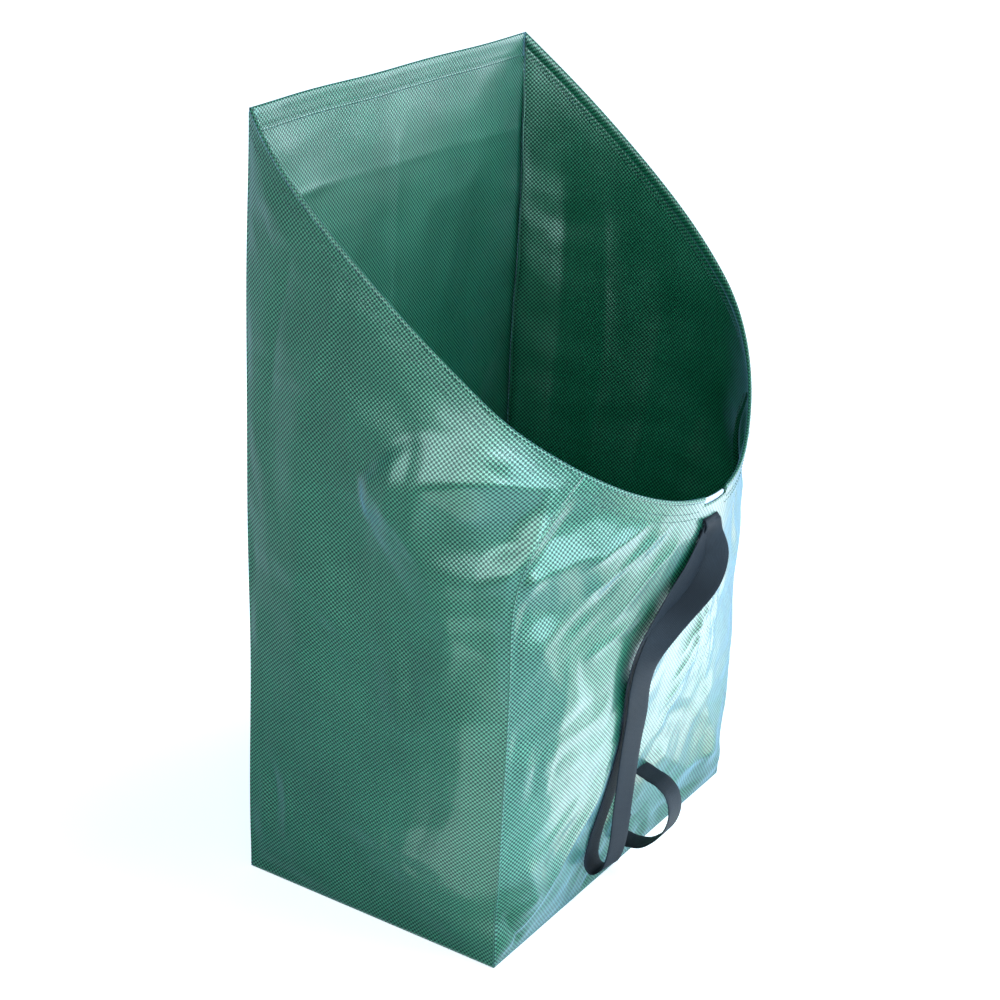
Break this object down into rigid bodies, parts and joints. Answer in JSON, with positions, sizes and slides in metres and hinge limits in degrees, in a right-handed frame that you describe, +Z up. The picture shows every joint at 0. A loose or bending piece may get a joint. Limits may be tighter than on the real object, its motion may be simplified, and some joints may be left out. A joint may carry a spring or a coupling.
{
  "type": "leaf bag",
  "caption": "Standing woven garden bag with a tall flat back, a slanted scoop mouth stiffened by hem strips, a hanging carry strap and a low handle.",
  "frame": {"origin": "centre of the underside of the base, on the ground the bag stands on", "axes": "+Z up, -Y towards the low front lip, +Y towards the tall flat back, -X towards the left side as seen from the front"},
  "size_m": [0.5746, 0.4474, 0.9],
  "materials": {
    "woven_sheet": "green woven tape cloth, coated, satin",
    "white_strip": "white springy strip, glossy",
    "webbing": "dark grey woven webbing, matt"
  },
  "bodies": {
    "bag": {"back_panel": "woven_sheet", "left_side_panel": "woven_sheet", "right_side_panel": "woven_sheet", "front_panel": "woven_sheet", "base_panel": "woven_sheet", "hem_back": "woven_sheet", "hem_left": "woven_sheet", "hem_right": "woven_sheet", "mouth_strip_left": "white_strip", "mouth_strip_right": "white_strip", "seam_back_left": "woven_sheet", "seam_back_right": "woven_sheet", "seam_front_left": "woven_sheet", "seam_front_right": "woven_sheet", "seam_base": "woven_sheet", "carry_strap_tail": "webbing", "base_handle_tail_low": "webbing", "base_handle_tail_high": "webbing"},
    "carry_strap_body": {"carry_strap": "webbing"},
    "base_handle_body": {"base_handle": "webbing"}
  },
  "joints": [
    {"name": "carry_strap_swing", "type": "hinge", "parent": "bag", "child": "carry_strap_body", "pos_m": [0, -0.2591, 0.4735], "axis": [-1, 0, 0], "range_deg": [0, 135]},
    {"name": "base_handle_swing", "type": "hinge", "parent": "bag", "child": "base_handle_body", "pos_m": [0, -0.2027, 0.0876], "axis": [0, -0.1792, 0.9838], "range_deg": [-70, 70]}
  ]
}
